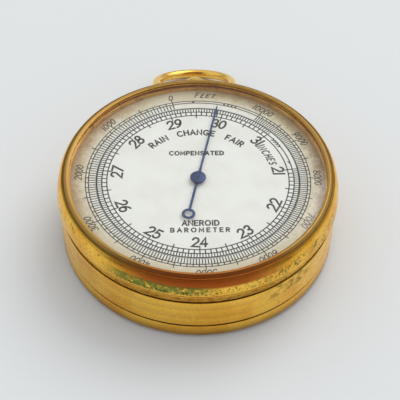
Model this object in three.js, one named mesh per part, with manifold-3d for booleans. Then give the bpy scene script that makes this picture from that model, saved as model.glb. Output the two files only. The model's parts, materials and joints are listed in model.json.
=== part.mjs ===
// Pocket aneroid barometer with a revolving altitude ring.
// Millimetres, +Z up out of the dial, +Y towards the pendant.
// The origin is the centre of the flat back of the case.

import * as THREE from 'three';
import { mergeVertices } from 'three/addons/utils/BufferGeometryUtils.js';
import Module from 'manifold-3d';

const wasm = await Module();
wasm.setup();

// ---------------------------------------------------------------- driving dimensions

const BEZEL_RADIUS = 24;
const BODY_RADIUS = 23.6;
const COVER_RADIUS = 23.5;
const BODY_BORE = 22.3;
const NECK_RADIUS = 22.35;

const COVER_TOP = 3.2;
const COVER_FLOOR = 1;
const BAND_BOTTOM = 3.32;
const MILLED_BOTTOM = 9.3;
const MILLED_RADIUS = 23.4;
const SHOULDER = 10.95;
const SEAM = 11.14;
const DIAL_TOP = 13.3;
const RIM_TOP = 15.34;

const RIM_RADIUS = 22.2;
const GLASS_RADIUS = 22;
const GLASS_BOTTOM = 14.3;
const GLASS_TOP = 15.05;
const DIAL_RADIUS = 17.3;
const DIAL_THICKNESS = 0.5;
const RING_INNER = 17.45;
const RING_OUTER = 21.95;

const PLATE_BOTTOM = 2;
const PLATE_TOP = 2.9;
const PLATE_RADIUS = 19.3;
const DIAL_PLATE_BOTTOM = 11;
const DIAL_PLATE_TOP = 11.6;
const DIAL_PLATE_RADIUS = 21.4;
const REST_GAP = 0.05;

const PIVOT_Y = 27.8;
const PIVOT_Z = 7.2;
const BALL_RADIUS = 2.75;
const STEM_RADIUS = 1.5;
const BOW_RADIUS = 7.07;
const BOW_OFFSET = 6.2;
const BOW_WIRE = 0.8;
const BOW_DROOP = 28.6;

const HAND_ANGLE = 12.1;
const HAND_REACH = 17.8;
const HAND_TAIL = 8.3;
const HAND_BOTTOM = 13.75;
const HAND_THICKNESS = 0.15;
const ARBOR_RADIUS = 0.25;

const CAPSULE_Y = -5.5;
const CAPSULE_RADIUS = 10.5;
const SPRING_X = -13.95;
const SPRING_WIDTH = 7;
const LEAF_BOTTOM = 8.2;
const LEAF_TOP = 8.8;
const LEAF_END = 5;

const SHAFT_X = 16;
const SHAFT_Z = 4.775;
const SHAFT_REST = 15.2;
const LINK_ARM = 1.6;
const CHAIN_ARM = 5;
const DRUM_RADIUS = 0.6;

const PILLAR_RADIUS = 17.6;
const PILLAR_ANGLES = [30, 150, 270];
const DIAL_SCREW_RADIUS = 20.6;
const DIAL_SCREW_ANGLES = [90, 210, 330];
const ADJUSTER_X = -12.2;
const FOOT_SCREW_OFFSET = 2.2;
const LEVER_SCREW_X = 3.4;
const LEVER_SCREW_OFFSET = 1.1;
const COCK_SCREW_Y = 8.6;
const BRACKET_SCREWS_Y = [-6.2, 0.9];

const LARGE = 48;
const MEDIUM = 24;
const SMALL = 10;

const radians = THREE.MathUtils.degToRad;
const barometer = new THREE.Group();

// ---------------------------------------------------------------- materials

const finishes = {
  gilt: { color: 0xc79a3a, roughness: 0.3, metalness: 1 },
  brass: { color: 0xb8954a, roughness: 0.4, metalness: 1 },
  nickel: { color: 0xb9b8b2, roughness: 0.35, metalness: 1 },
  steel: { color: 0x8d9096, roughness: 0.35, metalness: 1 },
  blued: { color: 0x1d2a55, roughness: 0.3, metalness: 1 },
  silvered: { color: 0xdedbd0, roughness: 0.5, metalness: 0.2 },
  tarnished: { color: 0xd8cfb8, roughness: 0.5, metalness: 0.2 },
  glass: { color: 0xf4f8f8, roughness: 0.05, metalness: 0 },
};

// ---------------------------------------------------------------- solids

// Keeps position only, joins shared vertices and leaves out faces of no area.
function weld(geometry) {
  const plain = geometry.clone();
  plain.deleteAttribute('normal');
  plain.deleteAttribute('uv');
  const merged = mergeVertices(plain, 1e-5);
  const index = merged.getIndex().array;
  const kept = [];
  for (let i = 0; i < index.length; i += 3) {
    const [a, b, c] = [index[i], index[i + 1], index[i + 2]];
    if (a !== b && b !== c && c !== a) kept.push(a, b, c);
  }
  merged.setIndex(kept);
  return merged;
}

function toSolid(geometry) {
  const welded = weld(geometry);
  return new wasm.Manifold(new wasm.Mesh({
    numProp: 3,
    vertProperties: new Float32Array(welded.getAttribute('position').array),
    triVerts: new Uint32Array(welded.getIndex().array),
  }));
}

function fromSolid(solid) {
  const mesh = solid.getMesh();
  const geometry = new THREE.BufferGeometry();
  geometry.setAttribute('position', new THREE.BufferAttribute(new Float32Array(mesh.vertProperties), 3));
  geometry.setIndex(new THREE.BufferAttribute(new Uint32Array(mesh.triVerts), 1));
  return geometry;
}

function cut(geometry, tools) {
  return fromSolid(tools.reduce((solid, tool) => solid.subtract(toSolid(tool)), toSolid(geometry)));
}

function join(geometry, others) {
  return fromSolid(others.reduce((solid, other) => solid.add(toSolid(other)), toSolid(geometry)));
}

// A turned solid about +Z. The profile runs [radius, height], anticlockwise in its half-plane.
function turned(profile, segments = LARGE) {
  const points = profile.map(([r, z]) => new THREE.Vector2(r, z));
  return new THREE.LatheGeometry(points, segments).rotateX(Math.PI / 2);
}

// A turned ring whose section closes on itself.
function ring(profile, segments = LARGE) {
  return turned([...profile, profile[0]], segments);
}

function rod(radius, bottom, top, segments = SMALL) {
  return turned([[0, bottom], [radius, bottom], [radius, top], [0, top]], segments);
}

function tube(inner, outer, bottom, top, segments = SMALL) {
  return ring([[inner, bottom], [outer, bottom], [outer, top], [inner, top]], segments);
}

// Turns a solid about +Z into one about +Y.
function alongY(geometry) {
  return geometry.rotateX(-Math.PI / 2);
}

function block(xs, ys, zs) {
  const box = new THREE.BoxGeometry(xs[1] - xs[0], ys[1] - ys[0], zs[1] - zs[0]);
  return box.translate((xs[0] + xs[1]) / 2, (ys[0] + ys[1]) / 2, (zs[0] + zs[1]) / 2);
}

function extruded(shape, thickness, curveSegments) {
  return new THREE.ExtrudeGeometry(shape, { depth: thickness, bevelEnabled: false, curveSegments });
}

// An outline drawn in (x, y), standing on a height.
function flat(shape, bottom, thickness, curveSegments = SMALL) {
  return extruded(shape, thickness, curveSegments).translate(0, 0, bottom);
}

// An outline drawn in (x, z), reaching down from yTop by its thickness.
function facingY(shape, yTop, thickness, curveSegments = SMALL) {
  return extruded(shape, thickness, curveSegments).rotateX(Math.PI / 2).translate(0, yTop, 0);
}

// An outline drawn in (y, z), reaching from xLow by its thickness.
function facingX(shape, xLow, thickness) {
  return extruded(shape, thickness, SMALL).rotateX(Math.PI / 2).rotateZ(Math.PI / 2).translate(xLow, 0, 0);
}

function outline(points) {
  return new THREE.Shape(points.map(([x, y]) => new THREE.Vector2(x, y)));
}

function hole(shape, x, y, radius) {
  const path = new THREE.Path();
  path.absarc(x, y, radius, 0, 2 * Math.PI, true);
  shape.holes.push(path);
}

function arc(centreX, centreY, radius, fromDegrees, toDegrees, steps) {
  return Array.from({ length: steps + 1 }, (_, i) => {
    const a = radians(fromDegrees + (toDegrees - fromDegrees) * i / steps);
    return [centreX + radius * Math.cos(a), centreY + radius * Math.sin(a)];
  });
}

function around(radius, degrees) {
  return [radius * Math.cos(radians(degrees)), radius * Math.sin(radians(degrees))];
}

// A flat strap with a round eye at the origin and another at (length, 0).
function strap(length, nearRadius, nearHole, farRadius, farHole) {
  const shape = outline([...arc(0, 0, nearRadius, 90, 270, 6), ...arc(length, 0, farRadius, -90, 90, 6)]);
  if (nearHole) hole(shape, 0, 0, nearHole);
  if (farHole) hole(shape, length, 0, farHole);
  return shape;
}

// A slotted screw with the underside of its head on z = 0 and its shank below.
function screw(headRadius, headHeight, shankRadius, shankLength) {
  const body = turned([
    [0, -shankLength], [shankRadius, -shankLength], [shankRadius, 0],
    [headRadius, 0], [headRadius, headHeight], [0, headHeight],
  ], SMALL);
  const half = headRadius + 1;
  return cut(body, [block([-half, half], [-0.12, 0.12], [headHeight * 0.55, headHeight + 1])]);
}

// The same screw with its head underneath.
function screwFromBelow(...sizes) {
  return screw(...sizes).rotateX(Math.PI);
}

function put(name, geometry, finish, x = 0, y = 0, z = 0) {
  const mesh = new THREE.Mesh(weld(geometry), new THREE.MeshStandardMaterial(finishes[finish]));
  mesh.name = name;
  mesh.position.set(x, y, z);
  barometer.add(mesh);
}

// ---------------------------------------------------------------- case

function middleCase() {
  const band = ring([
    [BODY_BORE, BAND_BOTTOM], [23.45, BAND_BOTTOM], [BODY_RADIUS, 3.5], [BODY_RADIUS, MILLED_BOTTOM],
    [MILLED_RADIUS, MILLED_BOTTOM + 0.1], [MILLED_RADIUS, 10.85], [23.3, SHOULDER],
    [NECK_RADIUS, SHOULDER], [NECK_RADIUS, 12.1], [21.65, 12.1], [21.65, SHOULDER],
    [19.6, SHOULDER], [19.6, 9.9], [BODY_BORE, 8.9],
  ]);
  const stemHole = alongY(rod(STEM_RADIUS + 0.12, 20, 25)).translate(0, 0, PIVOT_Z);
  const screwHoles = DIAL_SCREW_ANGLES.map((degrees) => (
    rod(0.48, 9, 12).translate(...around(DIAL_SCREW_RADIUS, degrees), 0)
  ));
  return cut(band, [stemHole, ...screwHoles]);
}

function backCover() {
  const edge = 1.3;
  const dish = turned([
    [0, 0], ...arc(COVER_RADIUS - edge, edge, edge, -90, 0, 4), [COVER_RADIUS, COVER_TOP],
    [BODY_BORE - 0.1, COVER_TOP], [BODY_BORE - 0.1, 4.6], [21.5, 4.6], [21.5, COVER_FLOOR],
    [0, COVER_FLOOR],
  ]);
  return cut(dish, [rod(1.1, -1, 2).translate(ADJUSTER_X, CAPSULE_Y, 0)]);
}

function pendant() {
  const neck = 1.45;
  const neckAngle = THREE.MathUtils.radToDeg(Math.asin(neck / BALL_RADIUS));
  const stemAndBall = turned([
    [0, 22.4], [STEM_RADIUS, 22.4], [STEM_RADIUS, 23.8], [2.1, 23.8], [2.1, 24.3], [neck, 24.7],
    ...arc(0, PIVOT_Y, BALL_RADIUS, neckAngle - 90, 90, 8).slice(0, -1), [0, PIVOT_Y + BALL_RADIUS],
  ], 20);
  const bowHole = rod(0.65, -5, 5).rotateY(Math.PI / 2).translate(0, PIVOT_Y, PIVOT_Z);
  return cut(alongY(stemAndBall).translate(0, 0, PIVOT_Z), [bowHole]);
}

// A split ring that snaps between the neck of the case and the skirt of the bezel.
function bezelSpringRing() {
  const split = radians(4);
  const shape = new THREE.Shape();
  shape.absarc(0, 0, 22.84, split, 2 * Math.PI - split, false);
  shape.absarc(0, 0, 22.46, 2 * Math.PI - split, split, true);
  return flat(shape, 11.25, 0.45, MEDIUM);
}

// ---------------------------------------------------------------- bezel, glass and altitude ring

function bezelRing() {
  const creaseRadius = 22.85;
  const creaseHeight = 14.84;
  const flankBottom = SEAM + 0.3;
  const steps = 6;
  const flank = Array.from({ length: steps + 1 }, (_, i) => {
    const a = radians(90 * (1 - i / steps));
    return [
      creaseRadius + (BEZEL_RADIUS - creaseRadius) * Math.sin(a),
      flankBottom + (creaseHeight - flankBottom) * Math.cos(a),
    ];
  });
  const seat = GLASS_TOP + REST_GAP;
  return ring([
    [22.95, SEAM], [BEZEL_RADIUS - 0.15, SEAM], ...flank, [22.5, 15.26], [RIM_RADIUS, RIM_TOP],
    [21.9, 15.25], [21.9, seat], [22.1, seat], [22.1, 12.75],
    [20.9, 12.75], [20.9, 12.25], [22.95, 12.25],
  ]);
}

function crystal() {
  const bevel = 0.25;
  return turned([
    [0, GLASS_BOTTOM], [GLASS_RADIUS, GLASS_BOTTOM], [GLASS_RADIUS, GLASS_TOP - bevel],
    [GLASS_RADIUS - bevel, GLASS_TOP], [0, GLASS_TOP],
  ]);
}

// ---------------------------------------------------------------- bow

// Drawn in XY with its pivot on the origin, then tilted to lie with its far edge on the table.
function bow() {
  const firstAngle = 35;
  const steps = 20;
  const loop = Array.from({ length: steps + 1 }, (_, i) => {
    const a = radians(firstAngle + (360 - 2 * firstAngle) * i / steps);
    return new THREE.Vector3(BOW_RADIUS * Math.sin(a), BOW_OFFSET - BOW_RADIUS * Math.cos(a), 0);
  });
  const ends = [3.2, -3.2].map((x) => new THREE.Vector3(x, 0, 0));
  const path = new THREE.CatmullRomCurve3([ends[0], ...loop, ends[1]]);
  const section = outline(arc(0, 0, BOW_WIRE, 0, 315, 7));
  const wire = new THREE.ExtrudeGeometry(section, { steps: 56, extrudePath: path, bevelEnabled: false });
  const pins = [-1, 1].map((side) => rod(0.55, 1.5, 3.6).rotateY(side * Math.PI / 2));
  return join(wire, pins).rotateX(-radians(BOW_DROOP));
}

// ---------------------------------------------------------------- movement frame

function basePlate() {
  const holes = [
    rod(1, 1, 4).translate(0, CAPSULE_Y, 0),
    rod(0.65, 1, 4).translate(ADJUSTER_X, CAPSULE_Y, 0),
    rod(0.5, 1, 4).translate(0, COCK_SCREW_Y, 0),
    ...[-1, 1].map((side) => (
      rod(0.45, 1, 4).translate(ADJUSTER_X, CAPSULE_Y + side * FOOT_SCREW_OFFSET, 0)
    )),
    ...BRACKET_SCREWS_Y.map((y) => rod(0.42, 1, 4).translate(SHAFT_X, y, 0)),
    ...PILLAR_ANGLES.map((degrees) => rod(0.5, 1, 4).translate(...around(PILLAR_RADIUS, degrees), 0)),
  ];
  return cut(rod(PLATE_RADIUS, PLATE_BOTTOM, PLATE_TOP, LARGE), holes);
}

function pillar() {
  const bottom = PLATE_TOP + REST_GAP;
  const top = DIAL_PLATE_BOTTOM - REST_GAP;
  return turned([
    [0, 5], [0.5, 5], [0.5, bottom], [1.1, bottom], [1.1, top], [0, top],
  ], SMALL);
}

function dialPlate() {
  const holes = DIAL_SCREW_ANGLES.map((degrees) => (
    rod(0.48, 10, 13).translate(...around(DIAL_SCREW_RADIUS, degrees), 0)
  ));
  const disc = tube(ARBOR_RADIUS + 0.07, DIAL_PLATE_RADIUS, DIAL_PLATE_BOTTOM, DIAL_PLATE_TOP, LARGE);
  return cut(disc, holes);
}

function dial() {
  const face = tube(0.9, DIAL_RADIUS, DIAL_TOP - DIAL_THICKNESS, DIAL_TOP, LARGE);
  const feet = DIAL_SCREW_ANGLES.map((degrees) => (
    rod(0.7, DIAL_PLATE_TOP + REST_GAP, DIAL_TOP - 0.2, 8).translate(...around(12, degrees), 0)
  ));
  return join(face, feet);
}

// ---------------------------------------------------------------- capsule and mainspring

const DIAPHRAGM_SHEET = 0.25;
const CAPSULE_MIRROR = 8.9;

// Half of the section of the lower diaphragm, from the hub outwards and back.
function diaphragm(hub) {
  const steps = 6;
  const inner = 1.8;
  const outer = 9.6;
  const floor = 3.08;
  const waves = Array.from({ length: steps + 1 }, (_, i) => {
    const r = inner + (outer - inner) * i / steps;
    return [r, floor + 0.11 * (1 - Math.cos(Math.PI * i))];
  });
  const sheet = waves.map(([r, z]) => [r, z + DIAPHRAGM_SHEET]).reverse();
  return [
    ...hub, ...waves, [10.1, 4.12], [CAPSULE_RADIUS, 4.12], [CAPSULE_RADIUS, 4.4], [9.9, 4.4],
    ...sheet, [0, floor + DIAPHRAGM_SHEET],
  ];
}

function lowerDiaphragm() {
  return turned(diaphragm([[0, 1.5], [0.9, 1.5], [0.9, 3.08]]), MEDIUM);
}

function upperDiaphragm() {
  const mirrored = diaphragm([[0, 3.08]]).map(([r, z]) => [r, CAPSULE_MIRROR - z]);
  return turned(mirrored.reverse(), MEDIUM);
}

function capsuleNut() {
  const shape = outline(arc(0, 0, 1.9, 0, 300, 5));
  hole(shape, 0, 0, 1);
  return flat(shape, 1.36, 0.58);
}

function capsulePost() {
  const post = turned([[0, 5.9], [1.7, 5.9], [1.7, 6.35], [1, 6.45], [1, 9.95], [0, 9.95]], 16);
  return cut(post, [block([-0.62, 0.62], [-3, 3], [LEAF_TOP, LEAF_TOP + 1])]);
}

function knifeEdge() {
  const edge = LEAF_TOP + 0.08;
  return facingY(outline([[0, edge], [0.5, edge + 0.84], [-0.5, edge + 0.84]]), 1.9, 3.8);
}

// A leaf bent into a C, open towards +X, with its foot on the base plate.
function mainSpring() {
  const footBottom = PLATE_TOP + REST_GAP;
  const footTop = footBottom + LEAF_TOP - LEAF_BOTTOM;
  const bendZ = (footBottom + LEAF_TOP) / 2;
  const footEnd = -CAPSULE_RADIUS - 0.3;
  const shape = outline([
    [footEnd, footBottom], ...arc(SPRING_X, bendZ, LEAF_TOP - bendZ, 270, 90, 8),
    [LEAF_END, LEAF_TOP], [LEAF_END, LEAF_BOTTOM],
    ...arc(SPRING_X, bendZ, LEAF_BOTTOM - bendZ, 90, 270, 8), [footEnd, footTop],
  ]);
  const leaf = facingY(shape, CAPSULE_Y + SPRING_WIDTH / 2, SPRING_WIDTH);
  const slot = block([-1.3, 1.3], [CAPSULE_Y - 1.3, CAPSULE_Y + 1.3], [8, 9]);
  const screwHoles = [-1, 1].flatMap((side) => [
    rod(0.45, 2, 4).translate(ADJUSTER_X, CAPSULE_Y + side * FOOT_SCREW_OFFSET, 0),
    rod(0.5, 8, 9).translate(LEVER_SCREW_X, CAPSULE_Y + side * LEVER_SCREW_OFFSET, 0),
  ]);
  return cut(leaf, [slot, ...screwHoles]);
}

// ---------------------------------------------------------------- lever, link and rocking shaft

const LEVER_BOTTOM = 8.95;
const LEVER_THICKNESS = 0.7;
const LEVER_PIN_X = 14.43;
const LEVER_PIN_Z = 9.3;

function mainLever() {
  const end = LEVER_PIN_X + 0.55;
  const half = [[1.8, 2], [5.2, 2], [6.4, 1], [13.6, 0.65], [end, 0.65]];
  const below = half.map(([x, w]) => [x, CAPSULE_Y - w]);
  const above = half.map(([x, w]) => [x, CAPSULE_Y + w]).reverse();
  const arm = flat(outline([...below, ...above]), LEVER_BOTTOM, LEVER_THICKNESS);
  const pin = alongY(rod(0.25, CAPSULE_Y, CAPSULE_Y + 1.3)).translate(LEVER_PIN_X, 0, LEVER_PIN_Z);
  const holes = [-1, 1].map((side) => (
    rod(0.4, 8, 11).translate(LEVER_SCREW_X, CAPSULE_Y + side * LEVER_SCREW_OFFSET, 0)
  ));
  return cut(join(arm, [pin]), holes);
}

const LINK_TIP_X = SHAFT_X - LINK_ARM * Math.cos(radians(SHAFT_REST));
const LINK_TIP_Z = SHAFT_Z - LINK_ARM * Math.sin(radians(SHAFT_REST));

// Hangs from the pin of the main lever down to the pin of the link arm.
function link() {
  const dx = LINK_TIP_X - LEVER_PIN_X;
  const dz = LINK_TIP_Z - LEVER_PIN_Z;
  const strip = extruded(strap(Math.hypot(dx, dz), 0.7, 0.33, 0.72, 0.42), 0.3, SMALL);
  return strip.rotateZ(Math.atan2(dz, dx)).rotateX(Math.PI / 2);
}

function rockingShaft() {
  const profile = [
    [0, -8.5], [0.32, -8.5], [0.32, -7.45], [0.55, -7.45],
    [0.55, 2.05], [0.32, 2.05], [0.32, 3.1], [0, 3.1],
  ];
  return alongY(turned(profile, SMALL));
}

// An arm with its eye on the rocking shaft and a side pin at its tip.
function shaftArm(length, degrees, thickness, pinRadius, pinFrom, pinTo) {
  const [tipX, tipZ] = around(length, degrees);
  const arm = extruded(strap(length, 1, 0.6, 0.45, 0), thickness, SMALL);
  const turnedArm = arm.rotateZ(radians(degrees)).rotateX(Math.PI / 2);
  const pin = alongY(rod(pinRadius, pinFrom, pinTo)).translate(tipX, 0, tipZ);
  return join(turnedArm, [pin]);
}

function shaftBracket() {
  const shape = outline([
    [-8.4, 2.95], [3, 2.95], [3, 5.6], [2.2, 5.6], [2.2, 3.45], [-7.6, 3.45], [-7.6, 5.6], [-8.4, 5.6],
  ]);
  const pivots = alongY(rod(0.4, -9, 4)).translate(SHAFT_X, 0, SHAFT_Z);
  const screwHoles = BRACKET_SCREWS_Y.map((y) => rod(0.42, 2, 4).translate(SHAFT_X, y, 0));
  return cut(facingX(shape, SHAFT_X - 1, 2), [pivots, ...screwHoles]);
}

// ---------------------------------------------------------------- chain, drum and hairspring

const CHAIN_Z = SHAFT_Z + CHAIN_ARM * Math.cos(radians(SHAFT_REST));
const CHAIN_EYE_X = SHAFT_X - CHAIN_ARM * Math.sin(radians(SHAFT_REST));

function fuseeChain() {
  const half = 0.25;
  const eye = 0.72;
  const join = THREE.MathUtils.radToDeg(Math.asin(half / eye));
  const shape = outline([
    [-0.05, -half], ...arc(CHAIN_EYE_X, 0, eye, -180 + join, 180 - join, 14), [-0.05, half],
  ]);
  hole(shape, CHAIN_EYE_X, 0, 0.42);
  return facingY(shape, 0.1, 0.2);
}

function chainDrum() {
  const flange = 0.95;
  const z = CHAIN_Z;
  return ring([
    [0.29, z - 0.5], [flange, z - 0.5], [flange, z - 0.36], [DRUM_RADIUS, z - 0.3],
    [DRUM_RADIUS, z + 0.3], [flange, z + 0.36], [flange, z + 0.5], [0.29, z + 0.5],
  ], 16);
}

function hairspring() {
  const turns = 4.25;
  const steps = 68;
  const start = 0.8;
  const end = 3.2;
  const half = 0.06;
  const edge = (offset) => Array.from({ length: steps + 1 }, (_, i) => (
    around(start + (end - start) * i / steps + offset, 360 * turns * i / steps)
  ));
  return flat(outline([...edge(half), ...edge(-half).reverse()]), 10.25, 0.3);
}

function arborCock() {
  const shape = outline([
    [10, 2.95], [10, 3.6], [7.1, 3.6], [7.1, 7.3], [-1.2, 7.3], [-1.2, 6.6], [6.4, 6.6], [6.4, 2.95],
  ]);
  return cut(facingX(shape, -1.3, 2.6), [
    rod(0.3, 6, 8),
    rod(0.5, 2, 4).translate(0, COCK_SCREW_Y, 0),
  ]);
}

// ---------------------------------------------------------------- hand

function hand() {
  const right = [
    [0.17, 1], [0.17, 15.1], [0.29, 15.9], [0.29, 16.6], [0.06, HAND_REACH],
  ];
  const left = right.map(([x, y]) => [-x, y]).reverse();
  const tailRing = 1.135;
  const blade = outline([
    ...right, ...left, ...arc(0, 0, 0.75, 120, 240, 4), [-0.16, -1], [-0.16, -HAND_TAIL + 1],
    ...arc(0, -HAND_TAIL, tailRing, 98, 442, 20), [0.16, -HAND_TAIL + 1], [0.16, -1],
    ...arc(0, 0, 0.75, -60, 60, 4),
  ]);
  hole(blade, 0, -HAND_TAIL, 0.65);
  hole(blade, 0, 0, ARBOR_RADIUS + 0.05);
  return flat(blade, HAND_BOTTOM, HAND_THICKNESS).rotateZ(-radians(HAND_ANGLE));
}

// ---------------------------------------------------------------- assembly

put('middle_case', middleCase(), 'gilt');
put('back_cover', backCover(), 'gilt');
put('pendant', pendant(), 'gilt');
put('bezel_spring_ring', bezelSpringRing(), 'steel');

put('bezel_ring', bezelRing(), 'gilt');
put('crystal', crystal(), 'glass');
put('crystal_spacer_ring', tube(21.7, 22, 13.36, 14.24, LARGE), 'gilt');
put('altitude_ring', tube(RING_INNER, RING_OUTER, 12.82, DIAL_TOP, LARGE), 'tarnished');
put('bow', bow(), 'gilt', 0, PIVOT_Y, PIVOT_Z);

put('base_plate', basePlate(), 'brass');
PILLAR_ANGLES.forEach((degrees, i) => {
  const [x, y] = around(PILLAR_RADIUS, degrees);
  put(`pillar_${i + 1}`, pillar(), 'brass', x, y);
  put(`pillar_screw_${i + 1}`, screwFromBelow(1, 0.5, 0.42, 2.45), 'steel', x, y, PLATE_BOTTOM - REST_GAP);
});
put('dial_plate', dialPlate(), 'brass');
DIAL_SCREW_ANGLES.forEach((degrees, i) => {
  const [x, y] = around(DIAL_SCREW_RADIUS, degrees);
  put(`dial_plate_screw_${i + 1}`, screw(0.72, 0.45, 0.38, 1.45), 'steel', x, y, DIAL_PLATE_TOP + REST_GAP);
});
put('dial', dial(), 'silvered');

put('capsule_lower_diaphragm', lowerDiaphragm(), 'nickel', 0, CAPSULE_Y);
put('capsule_upper_diaphragm', upperDiaphragm(), 'nickel', 0, CAPSULE_Y);
put('capsule_nut', capsuleNut(), 'brass', 0, CAPSULE_Y);
put('capsule_post', capsulePost(), 'steel', 0, CAPSULE_Y);
put('knife_edge', knifeEdge(), 'steel', 0, CAPSULE_Y);
put('main_spring', mainSpring(), 'steel');
put('adjusting_screw', screwFromBelow(0.95, 0.6, 0.55, 0.9), 'steel', ADJUSTER_X, CAPSULE_Y, 1.95);
[-1, 1].forEach((side, i) => {
  const footY = CAPSULE_Y + side * FOOT_SCREW_OFFSET;
  const leverY = CAPSULE_Y + side * LEVER_SCREW_OFFSET;
  put(`main_spring_screw_${i + 1}`, screw(0.75, 0.45, 0.33, 1.35), 'steel', ADJUSTER_X, footY, 3.6);
  put(`main_lever_screw_${i + 1}`, screw(0.75, 0.4, 0.3, 1.35), 'steel', LEVER_SCREW_X, leverY, 9.7);
});

put('main_lever', mainLever(), 'brass');
put('link', link(), 'steel', LEVER_PIN_X, -4.4, LEVER_PIN_Z);
put('rocking_shaft', rockingShaft(), 'steel', SHAFT_X, 0, SHAFT_Z);
put('link_arm', shaftArm(LINK_ARM, 180 + SHAFT_REST, 0.5, 0.18, -1.05, -0.2), 'brass', SHAFT_X, -3.7, SHAFT_Z);
put('chain_arm', shaftArm(CHAIN_ARM, 90 + SHAFT_REST, 0.5, 0.15, -0.2, 0.45), 'brass', SHAFT_X, -0.95, SHAFT_Z);
put('shaft_bracket', shaftBracket(), 'brass');
BRACKET_SCREWS_Y.forEach((y, i) => {
  put(`shaft_bracket_screw_${i + 1}`, screw(0.7, 0.35, 0.32, 1.2), 'steel', SHAFT_X, y, 3.5);
});

put('fusee_chain', fuseeChain(), 'steel', 0, -DRUM_RADIUS - 0.13, CHAIN_Z);
put('chain_drum', chainDrum(), 'brass');
put('arbor_cock', arborCock(), 'brass');
put('arbor_cock_screw', screw(0.9, 0.5, 0.4, 1.4), 'steel', 0, COCK_SCREW_Y, 3.65);
put('hairspring', hairspring(), 'blued');
put('hairspring_stud', rod(0.35, 10.2, 10.95), 'brass', 0, 3.7);
put('hairspring_collet', tube(0.29, 0.55, 10.2, 10.6), 'brass');

put('hand_arbor', rod(ARBOR_RADIUS, 6.7, 14.2), 'steel');
put('hand', hand(), 'blued');
put('hand_hub', tube(0.3, 1.35, 13.95, 14.12, 24), 'blued');

export default barometer;
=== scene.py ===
import json
import math

import bpy
from mathutils import Matrix, Vector


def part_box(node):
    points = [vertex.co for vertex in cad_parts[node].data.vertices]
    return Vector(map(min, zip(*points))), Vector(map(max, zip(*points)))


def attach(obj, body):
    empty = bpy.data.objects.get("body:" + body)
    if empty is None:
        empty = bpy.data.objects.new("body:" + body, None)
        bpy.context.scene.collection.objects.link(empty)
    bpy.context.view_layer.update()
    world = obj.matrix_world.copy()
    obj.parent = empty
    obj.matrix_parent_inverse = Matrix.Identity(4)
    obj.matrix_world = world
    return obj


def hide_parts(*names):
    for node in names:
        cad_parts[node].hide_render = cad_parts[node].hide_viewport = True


# Pocket aneroid barometer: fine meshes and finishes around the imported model.
# Sizes are in millimetres, which mesh_piece() turns into metres.
# Angles on the dial are in degrees clockwise from the pendant, seen from above.

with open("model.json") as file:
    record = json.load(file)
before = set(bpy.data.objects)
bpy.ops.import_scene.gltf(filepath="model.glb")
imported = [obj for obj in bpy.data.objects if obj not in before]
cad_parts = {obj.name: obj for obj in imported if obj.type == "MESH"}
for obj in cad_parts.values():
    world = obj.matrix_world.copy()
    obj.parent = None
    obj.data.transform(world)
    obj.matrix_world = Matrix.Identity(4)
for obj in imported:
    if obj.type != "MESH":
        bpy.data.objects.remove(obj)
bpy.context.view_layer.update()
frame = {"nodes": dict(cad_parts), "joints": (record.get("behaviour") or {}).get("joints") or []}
MM = 0.001


def box_mm(node):
    low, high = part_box(node)
    return low / MM, high / MM


def joint_place_mm(name):
    joint = next(j for j in frame["joints"] if j["name"] == name)
    return Vector(joint["pos_m"]) / MM


# ---------------------------------------------------------------- sizes taken from the frame

BEZEL_LOW, BEZEL_HIGH = box_mm("bezel_ring")
BODY_LOW, BODY_HIGH = box_mm("middle_case")
_, COVER_HIGH = box_mm("back_cover")
_, DIAL_HIGH = box_mm("dial")
RING_LOW, RING_HIGH = box_mm("altitude_ring")
GLASS_LOW, GLASS_HIGH = box_mm("crystal")
SPACER_LOW, SPACER_HIGH = box_mm("crystal_spacer_ring")
HAND_LOW, HAND_HIGH = box_mm("hand")
HUB_LOW, HUB_HIGH = box_mm("hand_hub")
BALL_LOW, BALL_HIGH = box_mm("pendant")
_, BOW_HIGH = box_mm("bow")
ADJUSTER_LOW, ADJUSTER_HIGH = box_mm("adjusting_screw")
BOW_PIVOT = joint_place_mm("bow_swing")

SEAM = BEZEL_LOW.z
RIM_TOP = BEZEL_HIGH.z
BEZEL_RADIUS = BEZEL_HIGH.x
BODY_RADIUS = BODY_HIGH.x
COVER_RADIUS = COVER_HIGH.x
COVER_LIP = 1.4
COVER_TOP = COVER_HIGH.z - COVER_LIP
BAND_TOP = 9.3
DIAL_TOP = DIAL_HIGH.z
DIAL_RADIUS = DIAL_HIGH.x

# ---------------------------------------------------------------- sizes of the dial's engraving

TRACK_INNER = 15.51
TRACK_OUTER = 16.36
FEET_INNER = 18.64
FEET_OUTER = 19.15
RING_INNER = 17.45
INCH_FIRST = 21
INCH_LAST = 31
DEGREES_PER_INCH = 360 / 11
INCH_AT_TOP = 29.5
FEET_ZERO = 347.3
FEET_PER_DECADE = 62759
FEET_LAST = 10000
SEA_LEVEL_INCHES = 31
ARROW_RADIUS = 16.22
FEET_ARROW_RADIUS = 18.87

ENGRAVING_PROUD = 0.012
ENGRAVING_DEPTH = 0.05
LINE = 0.2
FINE_LINE = 0.175
ARC_STEP = 1.5

LATHE_STEPS = 240


# ---------------------------------------------------------------- meshes

def mesh_piece(name, body, slot, material, vertices, faces, sharp=32):
    """A closed smooth mesh, given in millimetres, that rides on a body."""
    mesh = bpy.data.meshes.new(name)
    mesh.from_pydata([Vector(v) * MM for v in vertices], [], faces)
    mesh.materials.append(material)
    mesh.shade_smooth()
    mesh.set_sharp_from_angle(angle=math.radians(sharp))
    mesh.validate()
    piece = bpy.data.objects.new(name, mesh)
    bpy.context.scene.collection.objects.link(piece)
    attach(piece, body)
    return piece


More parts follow.
